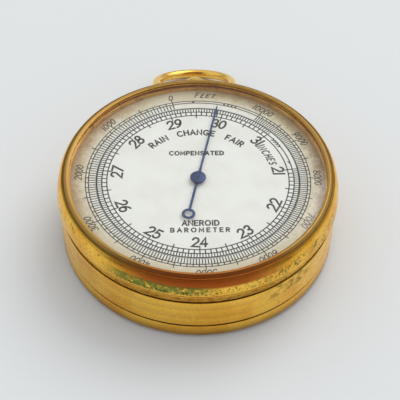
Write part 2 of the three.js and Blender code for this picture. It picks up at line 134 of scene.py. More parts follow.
def arc(centre_x, centre_y, radius_x, radius_y, start, end, steps):
    """Points on an ellipse's arc, in degrees anticlockwise from +x."""
    points = []
    for i in range(steps + 1):
        a = math.radians(start + (end - start) * i / steps)
        points.append((centre_x + radius_x * math.cos(a), centre_y + radius_y * math.sin(a)))
    return points


def turned(profile, steps=LATHE_STEPS, closed=True):
    """A turned solid. The profile is [radius, height], anticlockwise.

    It closes on itself, or starts and ends on the axis.
    """
    vertices = []
    rows = []
    for radius, height in profile:
        if radius == 0:
            rows.append([len(vertices)] * steps)
            vertices.append((0, 0, height))
            continue
        rows.append(list(range(len(vertices), len(vertices) + steps)))
        for i in range(steps):
            a = 2 * math.pi * i / steps
            vertices.append((radius * math.cos(a), radius * math.sin(a), height))
    faces = []
    pairs = list(zip(rows, rows[1:])) + ([(rows[-1], rows[0])] if closed else [])
    for row, following in pairs:
        for i in range(steps):
            j = (i + 1) % steps
            face = [row[i], row[j], following[j], following[i]]
            face = [v for k, v in enumerate(face) if v != face[k - 1]]
            if len(face) > 2:
                faces.append(face)
    return vertices, faces


def along_y(vertices, centre_z):
    """Stands a solid turned about +Z along +Y at a height."""
    return [(x, z, centre_z - y) for x, y, z in vertices]


class Marks:
    """Thin closed strips and plates, gathered into one mesh."""

    def __init__(self, surface, proud=ENGRAVING_PROUD, depth=ENGRAVING_DEPTH):
        self.top = surface + proud
        self.bottom = surface - depth
        self.vertices = []
        self.faces = []

    def strip(self, left, right, closed=False):
        """A plate between two lines of points, right first when looking along them from above."""
        n = len(left)
        start = len(self.vertices)
        for line, height in ((left, self.top), (right, self.top), (left, self.bottom), (right, self.bottom)):
            self.vertices += [(x, y, height) for x, y in line]
        a, b, c, d = (start + k * n for k in range(4))
        for i in range(n if closed else n - 1):
            j = (i + 1) % n
            self.faces += [
                (a + i, b + i, b + j, a + j), (c + i, c + j, d + j, d + i),
                (a + i, a + j, c + j, c + i), (b + i, d + i, d + j, b + j),
            ]
        if not closed:
            e = n - 1
            self.faces += [(a, c, d, b), (a + e, b + e, d + e, c + e)]

    def stroke(self, points, width, closed=False):
        """A line of one width with round ends and mitred corners."""
        n = len(points)
        left, right = [], []
        for i, (x, y) in enumerate(points):
            before = points[i - 1] if (i or closed) else None
            after = points[(i + 1) % n] if (i < n - 1 or closed) else None
            ways = [Vector(p).normalized() for p in (
                (x - before[0], y - before[1]) if before else None,
                (after[0] - x, after[1] - y) if after else None,
            ) if p]
            way = sum(ways, Vector((0, 0))).normalized()
            reach = width / 2 / max(0.5, way.dot(ways[0]))
            left.append((x - way.y * reach, y + way.x * reach))
            right.append((x + way.y * reach, y - way.x * reach))
        if not closed:
            left, right = self.rounded(points, left, right, width)
        self.strip(left, right, closed)

    @staticmethod
    def rounded(points, left, right, width):
        """Adds a round cap before the first and after the last pair of points."""
        caps = []
        for end, inner in ((points[0], points[1]), (points[-1], points[-2])):
            out = (Vector(end) - Vector(inner)).normalized()
            side = Vector((-out.y, out.x))
            pairs = []
            for degrees in (35, 62, 85):
                a = math.radians(degrees)
                centre = Vector(end) + out * (width / 2 * math.sin(a))
                reach = side * (width / 2 * math.cos(a))
                pairs.append((tuple(centre + reach), tuple(centre - reach)))
            caps.append(pairs)
        first = [(b, a) for a, b in reversed(caps[0])]
        left = [p for p, _ in first] + left + [p for p, _ in caps[1]]
        right = [p for _, p in first] + right + [p for _, p in caps[1]]
        return left, right

    def tick(self, angle, inner, outer, width):
        out, side = polar_axes(angle)
        near, far = out * inner, out * outer
        half = side * width / 2
        self.strip([tuple(near - half), tuple(far - half)], [tuple(near + half), tuple(far + half)])

    def circle(self, radius, width, start=0, end=360):
        count = max(2, round((end - start) / ARC_STEP))
        full = end - start >= 360
        angles = [start + (end - start) * i / count for i in range(count + (0 if full else 1))]
        outer = [tuple(polar_axes(a)[0] * (radius + width / 2)) for a in angles]
        inner = [tuple(polar_axes(a)[0] * (radius - width / 2)) for a in angles]
        self.strip(outer, inner, closed=full)


def polar_axes(angle):
    """Unit vectors outwards and clockwise, for an angle in degrees clockwise from the pendant."""
    a = math.radians(angle)
    return Vector((math.sin(a), math.cos(a))), Vector((math.cos(a), -math.sin(a)))


# ---------------------------------------------------------------- lettering

def loop(centre_x, centre_y, radius_x, radius_y, steps):
    """An ellipse as one closed stroke."""
    return arc(centre_x, centre_y, radius_x, radius_y, 90, 450, steps)[:-1] + ["closed"]


def glyphs():
    """Single-line letters one unit high: {letter: (width, strokes)}."""
    bowl = arc(0.28, 0.74, 0.26, 0.26, 90, -90, 8)
    return {
        "0": (0.58, [loop(0.29, 0.5, 0.29, 0.5, 20)]),
        "1": (0.16, [[(0.08, 1), (0.08, 0)]]),
        "2": (0.62, [arc(0.31, 0.7, 0.28, 0.3, 165, -38, 12) + [(0.02, 0), (0.62, 0)]]),
        "3": (0.58, [arc(0.28, 0.75, 0.25, 0.25, 150, -85, 10), arc(0.28, 0.26, 0.29, 0.26, 88, -155, 12)]),
        "4": (0.62, [[(0.46, 0), (0.46, 1), (0, 0.28), (0.62, 0.28)]]),
        "5": (0.58, [[(0.55, 1), (0.14, 1), (0.07, 0.55)] + arc(0.28, 0.32, 0.3, 0.32, 118, -150, 12)]),
        "6": (0.6, [arc(0.62, 0.34, 0.6, 0.66, 105, 180, 8), loop(0.3, 0.3, 0.28, 0.3, 16)]),
        "7": (0.58, [[(0, 1), (0.58, 1), (0.2, 0)]]),
        "8": (0.6, [loop(0.3, 0.76, 0.23, 0.24, 14), loop(0.3, 0.26, 0.29, 0.26, 16)]),
        "9": (0.6, [arc(-0.02, 0.66, 0.6, 0.66, -75, 0, 8), loop(0.3, 0.7, 0.28, 0.3, 16)]),
        "A": (0.7, [[(0, 0), (0.35, 1), (0.7, 0)], [(0.13, 0.34), (0.57, 0.34)]]),
        "B": (0.58, [[(0.28, 1), (0, 1), (0, 0), (0.28, 0)], bowl, arc(0.28, 0.24, 0.29, 0.25, 90, -90, 8)]),
        "C": (0.7, [arc(0.4, 0.5, 0.4, 0.5, 48, 312, 16)]),
        "D": (0.66, [[(0.22, 1), (0, 1), (0, 0), (0.22, 0)], arc(0.22, 0.5, 0.42, 0.5, 90, -90, 12)]),
        "E": (0.52, [[(0.52, 1), (0, 1), (0, 0), (0.52, 0)], [(0, 0.52), (0.42, 0.52)]]),
        "F": (0.5, [[(0.5, 1), (0, 1), (0, 0)], [(0, 0.52), (0.4, 0.52)]]),
        "G": (0.76, [arc(0.4, 0.5, 0.4, 0.5, 48, 350, 18) + [(0.46, 0.42)]]),
        "H": (0.62, [[(0, 0), (0, 1)], [(0.62, 0), (0.62, 1)], [(0, 0.5), (0.62, 0.5)]]),
        "I": (0.1, [[(0.05, 0), (0.05, 1)]]),
        "M": (0.76, [[(0, 0), (0.04, 1), (0.38, 0.24), (0.72, 1), (0.76, 0)]]),
        "N": (0.64, [[(0, 0), (0, 1), (0.64, 0), (0.64, 1)]]),
        "O": (0.8, [loop(0.4, 0.5, 0.4, 0.5, 20)]),
        "P": (0.54, [[(0.28, 1), (0, 1), (0, 0)], bowl, [(0, 0.48), (0.28, 0.48)]]),
        "R": (0.58, [[(0.28, 1), (0, 1), (0, 0)], bowl, [(0, 0.48), (0.28, 0.48), (0.56, 0)]]),
        "S": (0.56, [arc(0.28, 0.75, 0.25, 0.25, 35, 262, 10) + arc(0.28, 0.25, 0.27, 0.25, 80, -145, 10)]),
        "T": (0.6, [[(0, 1), (0.6, 1)], [(0.3, 1), (0.3, 0)]]),
    }


GLYPHS = glyphs()


def text_width(text, spacing):
    return sum(GLYPHS[letter][0] for letter in text) + spacing * (len(text) - 1)


def engrave(marks, text, place, height, stroke, spacing=0.28, slant=0.0, widen=1.0, small_caps=1.0):
    """Cuts a line of text. place(x) gives the point, across and up vectors at x on its middle line."""
    x = -text_width(text, spacing) * widen * height / 2
    for index, letter in enumerate(text):
        width, strokes = GLYPHS[letter]
        size = height * (small_caps if index else 1)
        middle, across, up = place(x + width * widen * height / 2)
        for line in strokes:
            closed = line[-1] == "closed"
            points = []
            for px, py in (line[:-1] if closed else line):
                sideways = ((px - width / 2) * widen + slant * (py - 0.5)) * size
                upwards = (py - 0.5) * size - (height - size) / 2
                points.append(tuple(middle + across * sideways + up * upwards))
            marks.stroke(points, stroke, closed)
        x += (width + spacing) * widen * height


def on_arc(radius, angle, inward=False):
    """Places letters round the dial, with their tops outwards, or inwards."""
    def place(x):
        turn = math.degrees(x / radius) * (-1 if inward else 1)
        out, clockwise = polar_axes(angle + turn)
        return (out * radius, -clockwise, -out) if inward else (out * radius, clockwise, out)
    return place


def on_line(centre_x, centre_y):
    """Places letters on a straight line across the dial."""
    def place(x):
        return Vector((centre_x + x, centre_y)), Vector((1, 0)), Vector((0, 1))
    return place


def arrow(marks, radius, head, tail, width):
    """A curved arrow on a circle, from its feathers to its point. Angles are clockwise from the pendant."""
    nose, heel, half_width = 0.5, 0.25, 0.3
    feathers, feather_turn, feather_rake = 4, 2.1, 0.34
    way = 1 if head > tail else -1
    out, clockwise = polar_axes(head)
    middle = out * radius
    point = middle + clockwise * way * nose
    back = middle - clockwise * way * heel
    spine = [tuple(middle), tuple(point - clockwise * way * 0.02)]
    marks.strip([tuple(back + out * half_width), tuple(point)], spine)
    marks.strip(spine, [tuple(back - out * half_width), tuple(point)])
    for i in range(feathers):
        out, clockwise = polar_axes(tail + way * i * feather_turn)
        root = out * radius
        for side in (-1, 1):
            tip = root + out * side * half_width - clockwise * way * feather_rake
            marks.stroke([tuple(root), tuple(tip)], width)


# ---------------------------------------------------------------- material nodes

def new_material(name):
    material = bpy.data.materials.new(name)
    material.use_nodes = True
    material.node_tree.nodes.clear()
    return material


def node(tree, kind, inputs=None, **settings):
    """Adds a shader node. inputs is {socket: number, colour or another node's output}."""
    made = tree.nodes.new("ShaderNode" + kind)
    for key, value in settings.items():
        setattr(made, key, value)
    for socket, value in (inputs or {}).items():
        if isinstance(value, bpy.types.NodeSocket):
            tree.links.new(value, made.inputs[socket])
        else:
            made.inputs[socket].default_value = value
    return made


def maths(tree, operation, a, b=0.0):
    return node(tree, "Math", {0: a, 1: b}, operation=operation).outputs[0]


def times(tree, a, b):
    return maths(tree, "MULTIPLY", a, b)


def mixed(tree, share, a, b):
    inputs = {0: share, 6: colour(a), 7: colour(b)}
    return node(tree, "Mix", inputs, data_type="RGBA").outputs[2]


def colour(value):
    return (*value, 1) if isinstance(value, tuple) and len(value) == 3 else value


def between(tree, value, low, high, floor=0.0, ceiling=1.0):
    """A smooth step from floor at low to ceiling at high."""
    inputs = {0: value, 1: low, 2: high, 3: floor, 4: ceiling}
    return node(tree, "MapRange", inputs, interpolation_type="SMOOTHSTEP").outputs[0]


def place_mm(tree):
    """The point on the piece, in millimetres."""
    coordinates = node(tree, "TexCoord").outputs["Object"]
    return node(tree, "VectorMath", {0: coordinates, "Scale": 1 / MM}, operation="SCALE").outputs[0]


def noise(tree, vector, scale, detail=3.0, roughness=0.55):
    inputs = {"Vector": vector, "Scale": scale, "Detail": detail, "Roughness": roughness}
    return node(tree, "TexNoise", inputs).outputs[0]


def round_axis(tree, point):
    """The radius from the axis, then the height, x and y."""
    parts = node(tree, "SeparateXYZ", {0: point})
    x, y, z = parts.outputs
    radius = maths(tree, "SQRT", maths(tree, "ADD", times(tree, x, x), times(tree, y, y)))
    return radius, z, x, y


def turning_vector(tree, point, along=0.05, across=6.0):
    """Stretches a pattern round the axis: quick in radius and height, slow along the turning."""
    radius, z, x, y = round_axis(tree, point)
    slow_x = times(tree, x, along)
    quick = times(tree, maths(tree, "ADD", radius, times(tree, z, 1.7)), across)
    slow_y = times(tree, y, along)
    return node(tree, "CombineXYZ", {0: slow_x, 1: slow_y, 2: quick}).outputs[0]


def facing(tree, point, angle, half_width):
    """1 round an angle clockwise from the pendant, falling to 0 at half_width degrees from it."""
    out, _ = polar_axes(angle)
    flat = node(tree, "VectorMath", {0: point, 1: (1, 1, 0)}, operation="MULTIPLY").outputs[0]
    unit = node(tree, "VectorMath", {0: flat}, operation="NORMALIZE").outputs[0]
    inputs = {0: unit, 1: (out.x, out.y, 0)}
    along = node(tree, "VectorMath", inputs, operation="DOT_PRODUCT").outputs["Value"]
    fade_out, full = math.radians(half_width), math.radians(half_width * 0.35)
    return between(tree, along, math.cos(fade_out), math.cos(full))


def level(tree, height, low, high, soft=0.25):
    """1 between two heights, with soft edges."""
    rise = between(tree, height, low - soft, low + soft)
    fall = between(tree, height, high - soft, high + soft, 1.0, 0.0)
    return times(tree, rise, fall)


def finish_material(material, base, roughness, height=None, bump=0.1, distance=0.00005, **sockets):
    tree = material.node_tree
    inputs = {"Base Color": base, "Roughness": roughness}
    if height is not None:
        made = node(tree, "Bump", {"Height": height, "Strength": bump, "Distance": distance})
        inputs["Normal"] = made.outputs[0]
    inputs.update({key.replace("_", " "): value for key, value in sockets.items()})
    shader = node(tree, "BsdfPrincipled", inputs)
    output = node(tree, "OutputMaterial", {"Surface": shader.outputs[0]})
    output.target = "ALL"
    return material


# ---------------------------------------------------------------- materials

GOLD = (1.0, 0.59, 0.08)
DEEP_GOLD = (0.88, 0.44, 0.04)
PALE_GOLD = (1.0, 0.72, 0.22)
# Tarnish; also painted shade at the foot of the back cover.
TARNISH_AND_SHADE = (0.22, 0.11, 0.03)
VERDIGRIS = (0.18, 0.29, 0.06)
OLIVE = (0.27, 0.23, 0.05)
# Painted dark reflection, laid all round the bezel's lip.
LIP_PAINTED_REFLECTION = (0.42, 0.26, 0.085)
# Painted reflection: the red-brown of the dark room, laid on the bezel's front.
PAINTED_FRONT_REFLECTION = (0.56, 0.115, 0.022)
# Near-black dirt and pitting; also painted shadow along the seam under the bezel.
GRIME_AND_SHADE = (0.05, 0.028, 0.012)


def gilt(name, stains_and_painted_light=None, pale=0.5):
    """Worn gilding over turned brass.

    The hook (tree, point, base, rough) lays local stains, painted shade and painted reflections over the
    base colour and roughness.
    """
    material = new_material(name)
    tree = material.node_tree
    point = place_mm(tree)
    turning = noise(tree, turning_vector(tree, point), 1.0, 4.0, 0.6)
    clouds = noise(tree, point, 0.16, 4.0)
    wear = noise(tree, point, 0.9, 6.0, 0.65)
    base = mixed(tree, between(tree, clouds, 0.38, 0.66), GOLD, DEEP_GOLD)
    base = mixed(tree, between(tree, turning, 0.5, 0.72, pale - 0.5, pale), base, PALE_GOLD)
    base = mixed(tree, between(tree, wear, 0.58, 0.78, 0.0, 0.45), base, TARNISH_AND_SHADE)
    pits = noise(tree, point, 3.4, 2.0, 0.5)
    base = mixed(tree, between(tree, pits, 0.74, 0.8, 0.0, 0.7), base, GRIME_AND_SHADE)
    rough = between(tree, wear, 0.3, 0.8, 0.2, 0.42)
    if stains_and_painted_light:
        base, rough = stains_and_painted_light(tree, point, base, rough)
    relief = maths(tree, "ADD", times(tree, turning, 0.6), times(tree, wear, 0.5))
    return finish_material(material, base, rough, relief, 0.12, 0.00004, Metallic=1.0)


def stain(tree, base, rough, mask, tint, roughness=0.7):
    """Lays a tint and its roughness over the finish where the mask is 1."""
    dulled = node(tree, "Mix", {0: mask, 2: rough, 3: roughness}, data_type="FLOAT").outputs[0]
    return mixed(tree, mask, base, tint), dulled


def bezel_stains(tree, point, base, rough):
    """Verdigris and dark pitting low on the flank, a lip browned all round as a painted dark reflection over
    a dark crease, and a painted red-brown reflection of the dark room on the front.
    """
    _, height, _, _ = round_axis(tree, point)
    haze = noise(tree, point, 0.3, 2.0, 0.5)
    blotch = noise(tree, point, 0.75, 6.0, 0.75)
    bloom = noise(tree, point, 1.5, 5.0, 0.7)
    specks = noise(tree, point, 3.0, 3.0, 0.6)
    # The first row is a painted reflection: the front of the flank tinted red-brown for the dark room it
    # faces. The other rows are stains.
    zones = (  # angle, half width, lowest, highest, texture, threshold, tint
        (180, 40, 13.3, 14.7, haze, 0.2, PAINTED_FRONT_REFLECTION),
        (197, 27, 11.9, 13.6, bloom, 0.36, VERDIGRIS),
        (192, 30, 11.7, 12.5, specks, 0.5, GRIME_AND_SHADE),
        (160, 26, 11.9, 13.2, specks, 0.52, GRIME_AND_SHADE),
        (128, 30, 11.9, 13.9, specks, 0.53, GRIME_AND_SHADE),
        (236, 26, 12.6, 14.2, specks, 0.56, GRIME_AND_SHADE),
        (134, 36, 11.7, 13.6, blotch, 0.46, OLIVE),
        (243, 24, 12.0, 14.3, blotch, 0.53, OLIVE),
    )
    for angle, half_width, low, high, texture, threshold, tint in zones:
        zone = times(tree, facing(tree, point, angle, half_width), level(tree, height, low, high))
        pattern = between(tree, texture, threshold, threshold + 0.16, 0.0, 0.85)
        base, rough = stain(tree, base, rough, times(tree, zone, pattern), tint)
    lip_foot, above_rim = 14.86, 16
    # Painted dark reflection: the lip is browned all round, which dims its highlights.
    lip = times(tree, level(tree, height, lip_foot, above_rim, 0.05), 0.85)
    base, rough = stain(tree, base, rough, lip, LIP_PAINTED_REFLECTION, 0.5)
    crease = times(tree, level(tree, height, lip_foot - 0.16, lip_foot, 0.05), 0.75)
    base, rough = stain(tree, base, rough, crease, GRIME_AND_SHADE)
    # Painted reflection: the front of the lip tinted red-brown for the dark room it faces.
    front = times(tree, facing(tree, point, 176, 40), level(tree, height, 14.6, above_rim, 0.1))
    return stain(tree, base, rough, times(tree, front, 0.5), PAINTED_FRONT_REFLECTION, 0.5)


def case_stains(tree, point, base, rough):
    """Dirt in the milled band under the seam, near-black lines at the joints, which under the bezel are
    painted shadow and dirt, and a green bloom on one side.
    """
    _, height, _, _ = round_axis(tree, point)
    dirt = noise(tree, turning_vector(tree, point, 0.9, 2.2), 1.0, 5.0, 0.7)
    streaks = between(tree, dirt, 0.42, 0.68, 0.15, 0.8)
    band = level(tree, height, BAND_TOP, 10.9, 0.06)
    base, rough = stain(tree, base, rough, times(tree, band, streaks), TARNISH_AND_SHADE)
    # Near-black lines at the joints: under the bezel, painted shadow with dirt; at the band's top and foot,
    # dark joint lines.
    seams = ((10.78, 12.2), (BAND_TOP - 0.02, BAND_TOP + 0.1), (2.0, BODY_LOW.z + 0.16))
    for low, high in seams:
        joint = level(tree, height, low, high, 0.05)
        base, rough = stain(tree, base, rough, times(tree, joint, 0.92), GRIME_AND_SHADE)
    bloom = between(tree, noise(tree, point, 0.8, 5.0, 0.7), 0.42, 0.64, 0.0, 0.8)
    zone = times(tree, facing(tree, point, 141, 17), level(tree, height, 6.4, 9.4, 0.8))
    return stain(tree, base, rough, times(tree, zone, bloom), OLIVE)


def cover_stains(tree, point, base, rough):
    """A near-black line at the joint between the cover and the band, and painted shade: the cover darkens
    towards its foot, as the reflection of the shaded table under it.
    """
    _, height, _, _ = round_axis(tree, point)
    joint = level(tree, height, COVER_TOP - 0.15, COVER_TOP + 2, 0.06)
    base, rough = stain(tree, base, rough, times(tree, joint, 0.92), GRIME_AND_SHADE)
    # Painted shade: the cover darkens towards its foot, as the reflection of the shaded table under it.
    foot = between(tree, height, 0.6, 2.9, 0.7, 0.0)
    return stain(tree, base, rough, foot, TARNISH_AND_SHADE, 0.4)


def dull_brass(name):
    """The unpolished brass wall between the altitude ring and the glass."""
    material = new_material(name)
    tree = material.node_tree
    point = place_mm(tree)
    turning = noise(tree, turning_vector(tree, point, 0.1, 9.0), 1.0, 3.0)
    clouds = noise(tree, point, 0.35, 4.0)
    base = mixed(tree, between(tree, turning, 0.35, 0.7), (0.72, 0.42, 0.13), (0.98, 0.64, 0.25))
    base = mixed(tree, between(tree, clouds, 0.5, 0.75, 0.0, 0.6), base, TARNISH_AND_SHADE)
    rough = between(tree, clouds, 0.3, 0.7, 0.35, 0.5)
    return finish_material(material, base, rough, turning, 0.15, Metallic=1.0)


def silvered(name, stained):
    """Silver rubbed into brass, with a fine matt grain. The outer ring has browned towards its edge."""
    material = new_material(name)
    tree = material.node_tree
    point = place_mm(tree)
    grain = noise(tree, point, 9.0, 3.0, 0.6)
    clouds = noise(tree, point, 0.22, 4.0, 0.6)
    base = mixed(tree, between(tree, clouds, 0.35, 0.7), (0.91, 0.90, 0.86), (0.86, 0.845, 0.79))
    base = mixed(tree, between(tree, grain, 0.5, 0.75, 0.0, 0.3), base, (0.78, 0.76, 0.71))
    if stained:
        base = ring_stains(tree, point, base)
    rough = between(tree, clouds, 0.3, 0.7, 0.48, 0.6)
    return finish_material(material, base, rough, grain, 0.04, 0.00002)


def ring_stains(tree, point, base):
    """Lacquer yellowed all round, and browned near the edge on the left, right and upper right."""
    radius, _, _, _ = round_axis(tree, point)
    cloud = noise(tree, point, 0.7, 6.0, 0.75)
    sway = times(tree, maths(tree, "SUBTRACT", cloud, 0.5), 5.0)
    ragged = maths(tree, "ADD", radius, sway)
    yellow = between(tree, ragged, 17.6, 20.2, 0.15, 0.9)
    base = mixed(tree, yellow, base, (0.66, 0.565, 0.37))
    edge = between(tree, ragged, 19.6, 21.6, 0.0, 0.85)
    zones = (  # angle, half width, tint
        (285, 62, (0.45, 0.26, 0.11)),
        (88, 52, (0.33, 0.20, 0.10)),
        (35, 45, (0.46, 0.32, 0.13)),
    )
    for angle, half_width, tint in zones:
        base = mixed(tree, times(tree, edge, facing(tree, point, angle, half_width)), base, tint)
    return base


def engraving_wax(name):
    """Black wax that fills the engraving, worn to brown in places."""
    material = new_material(name)
    tree = material.node_tree
    point = place_mm(tree)
    worn = noise(tree, point, 0.8, 4.0)
    base = mixed(tree, between(tree, worn, 0.4, 0.75), (0.022, 0.017, 0.014), (0.085, 0.06, 0.042))
    return finish_material(material, base, between(tree, worn, 0.3, 0.7, 0.45, 0.7))


def blued_steel(name):
    material = new_material(name)
    tree = material.node_tree
    point = place_mm(tree)
    tone = noise(tree, point, 0.7, 3.0)
    base = mixed(tree, between(tree, tone, 0.35, 0.7), (0.022, 0.045, 0.13), (0.05, 0.075, 0.17))
    return finish_material(material, base, between(tree, tone, 0.3, 0.7, 0.28, 0.42), Metallic=0.7)


def grained_metal(name, light, dark, roughness):
    """Movement metal with a straight grain and a little oil staining."""
    material = new_material(name)
    tree = material.node_tree
    point = place_mm(tree)
    stretched = node(tree, "VectorMath", {0: point, 1: (0.3, 8.0, 3.0)}, operation="MULTIPLY").outputs[0]
    grain = noise(tree, stretched, 1.0, 3.0)
    oil = noise(tree, point, 0.35, 4.0)
    base = mixed(tree, between(tree, grain, 0.35, 0.7), light, dark)
    base = mixed(tree, between(tree, oil, 0.6, 0.8, 0.0, 0.4), base, tuple(c * 0.4 for c in dark))
    rough = between(tree, oil, 0.3, 0.7, roughness, roughness + 0.15)
    return finish_material(material, base, rough, grain, 0.08, Metallic=1.0)


def glass(name):
    """Thin clear glass: it lets light straight through and mirrors a little more at a slant."""
    material = new_material(name)
    tree = material.node_tree
    point = place_mm(tree)
    smears = between(tree, noise(tree, point, 0.25, 4.0), 0.4, 0.8, 0.02, 0.08)
    clear = node(tree, "BsdfTransparent", {"Color": (0.985, 0.99, 0.985, 1)})
    gloss = node(tree, "BsdfGlossy", {"Color": (1, 1, 1, 1), "Roughness": smears})
    slant = node(tree, "LayerWeight", {"Blend": 0.5}).outputs["Facing"]
    at_grazing, head_on = 0.9, 0.03
    rise = times(tree, maths(tree, "POWER", slant, 5.0), at_grazing)
    mirrored = maths(tree, "ADD", rise, head_on)
    surface = node(tree, "MixShader", {0: mirrored, 1: clear.outputs[0], 2: gloss.outputs[0]})
    node(tree, "OutputMaterial", {"Surface": surface.outputs[0]})
    return material


# ---------------------------------------------------------------- case pieces

def build_bezel(material):
    crease_radius, crease_height = 22.85, 14.84
    skirt, bore, shelf, lip = 22.95, 22.1, 20.9, 21.9
    shelf_bottom, shelf_top, lip_bottom, lip_edge = 12.25, 12.75, 15.1, 15.22
    bead = 0.16
    flank_foot = SEAM + 2 * bead + 0.06
    flank_centre = crease_radius + 0.06
    flank_width = BEZEL_RADIUS - 0.03 - flank_centre
    flank_rise = crease_height - 0.02 - flank_foot
    profile = [(skirt, SEAM), (BEZEL_RADIUS - bead, SEAM)]
    profile += arc(BEZEL_RADIUS - bead, SEAM + bead, bead, bead, -80, 62, 8)
    profile += [(BEZEL_RADIUS - 0.09, SEAM + 2 * bead + 0.02)]
    profile += arc(flank_centre, flank_foot, flank_width, flank_rise, 0, 90, 28)
    profile += [(crease_radius, crease_height - 0.09), (crease_radius - 0.05, crease_height - 0.07)]
    profile += [(22.75, 14.93), (22.62, lip_bottom), (22.5, lip_edge)]
    profile += arc(22.3, RIM_TOP - 0.14, 0.19, 0.14, 40, 160, 8)
    profile += [(lip + 0.08, lip_edge), (lip, lip_edge - 0.06), (lip, lip_bottom), (bore, lip_bottom),
                (bore, shelf_top), (shelf, shelf_top), (shelf, shelf_bottom), (skirt, shelf_bottom)]
    piece = mesh_piece("bezel_ring_gilt", "bezel", "gilt_brass", material, *turned(profile))
    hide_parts("bezel_ring")


def build_middle_case(material):
    foot, top, shoulder = BODY_LOW.z, BODY_HIGH.z, 10.95
    bore, neck, neck_bore, shelf, milled = 22.3, 22.35, 21.65, 19.6, 23.36
    turning_line_depth = 0.012
    ribs, rib_pitch = 7, 0.19
    profile = [(bore, foot), (23.15, foot)]
    profile += arc(BODY_RADIUS - 0.4, foot + 0.36, 0.4, 0.36, -80, 0, 6)
    for line in (5.25, 7.35):
        bottom = BODY_RADIUS - turning_line_depth
        profile += [(BODY_RADIUS, line - 0.09), (bottom, line - 0.03),
                    (bottom, line + 0.03), (BODY_RADIUS, line + 0.09)]
    profile += arc(BODY_RADIUS - 0.1, BAND_TOP - 0.1, 0.1, 0.1, 0, 80, 4)
    profile += [(23.4, BAND_TOP + 0.06), (milled, BAND_TOP + 0.12)]
    for i in range(ribs):
        profile += arc(milled, BAND_TOP + 0.22 + i * rib_pitch, 0.05, 0.075, -90, 90, 4)
    profile += [(milled, shoulder - 0.06), (23.3, shoulder), (neck, shoulder), (neck, top),
                (neck_bore, top), (neck_bore, shoulder), (shelf, shoulder), (shelf, 9.9), (bore, 8.9)]
    piece = mesh_piece("middle_case_gilt", "case", "gilt_brass", material, *turned(profile))
    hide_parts("middle_case")


def build_back_cover(material):
    edge, shoulder, lip_outer, lip_inner, floor = 1.3, 0.35, 22.2, 21.5, 1.0
    groove, groove_width, groove_depth = 14, 0.3, 0.05
    profile = [(0, 0), (groove, 0), (groove + groove_width / 2, groove_depth),
               (groove + groove_width, 0), (21.3, 0)]
    profile += arc(COVER_RADIUS - edge, edge, edge, edge, -84, 0, 14)
    profile += arc(COVER_RADIUS - shoulder, COVER_TOP - shoulder, shoulder, shoulder, 0, 80, 5)
    profile += [(COVER_RADIUS - 0.4, COVER_TOP), (lip_outer, COVER_TOP), (lip_outer, COVER_HIGH.z),
                (lip_inner, COVER_HIGH.z), (lip_inner, floor), (0, floor)]
    piece = mesh_piece("back_cover_gilt", "case", "gilt_brass", material, *turned(profile, closed=False))
    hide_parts("back_cover")
    key_hole_radius = 1.1
    centre = (ADJUSTER_LOW + ADJUSTER_HIGH) / 2
    drill(piece, centre.x, centre.y, key_hole_radius, -1, 2)


def drill(piece, x, y, radius, low, high):
    """Cuts a round hole along Z."""
    vertices, faces = turned([(0, low), (radius, low), (radius, high), (0, high)], 48, closed=False)
    mesh = bpy.data.meshes.new("drill")
    mesh.from_pydata([Vector((vx + x, vy + y, vz)) * MM for vx, vy, vz in vertices], [], faces)
    tool = bpy.data.objects.new("drill", mesh)
    bpy.context.scene.collection.objects.link(tool)
    cut = piece.modifiers.new("drill", "BOOLEAN")
    cut.operation = "DIFFERENCE"
    cut.solver = "EXACT"
    cut.object = tool
    bpy.context.view_layer.update()
    with_hole = bpy.data.meshes.new_from_object(piece.evaluated_get(bpy.context.evaluated_depsgraph_get()))
    piece.modifiers.remove(cut)
    old = piece.data
    piece.data = with_hole
    with_hole.name = old.name
    bpy.data.meshes.remove(old)
    bpy.data.objects.remove(tool)


def build_pendant(material):
    stem, neck, collar, collar_start = 1.5, 1.45, 2.1, 23.75
    ball = (BALL_HIGH.z - BALL_LOW.z) / 2
    centre = BOW_PIVOT.y
    start = -90 + math.degrees(math.asin(neck / ball))
    profile = [(0, BALL_LOW.y), (stem, BALL_LOW.y), (stem, collar_start), (collar - 0.15, collar_start)]
    profile += arc(collar - 0.15, collar_start + 0.2, 0.2, 0.2, -90, 70, 6)
    profile += arc(2.3, 24.95, 0.85, 0.8, 215, 180, 4)
    profile += arc(0, centre, ball, ball, start, 90, 26)[:-1] + [(0, centre + ball)]
    vertices, faces = turned(profile, 64, closed=False)
    piece = mesh_piece("pendant_gilt", "case", "gilt_brass", material, along_y(vertices, BOW_PIVOT.z), faces)
    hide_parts("pendant")


def build_bow(material):
    wire, offset, droop, ends, opening = 0.8, 6.2, 28.6, 3.2, 35
    radius = BOW_HIGH.x - wire
    steps = 40
    ring = [(radius * math.sin(math.radians(a)), offset - radius * math.cos(math.radians(a)))
            for a in (opening + (360 - 2 * opening) * i / steps for i in range(steps + 1))]
    run_in = [(ends - 1.6, 0.0), (ends - 0.6, 0.0), (ends, 0.06)]
    path = smooth_path(run_in + ring + [(-x, y) for x, y in reversed(run_in)], 3)
    vertices, faces = swept(path, wire, 20)
    tilt = Matrix.Rotation(-math.radians(droop), 3, "X")
    placed = [tilt @ Vector(v) + BOW_PIVOT for v in vertices]
    piece = mesh_piece("bow_gilt", "bow", "gilt_brass", material, placed, faces, sharp=60)
    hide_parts("bow")


def smooth_path(points, rounds):
    """Rounds a path by cutting its corners, keeping its ends."""
    for _ in range(rounds):
        cut = [points[0]]
        for (ax, ay), (bx, by) in zip(points, points[1:]):
            cut += [(0.75 * ax + 0.25 * bx, 0.75 * ay + 0.25 * by),
                    (0.25 * ax + 0.75 * bx, 0.25 * ay + 0.75 * by)]
        points = cut + [points[-1]]
    return points


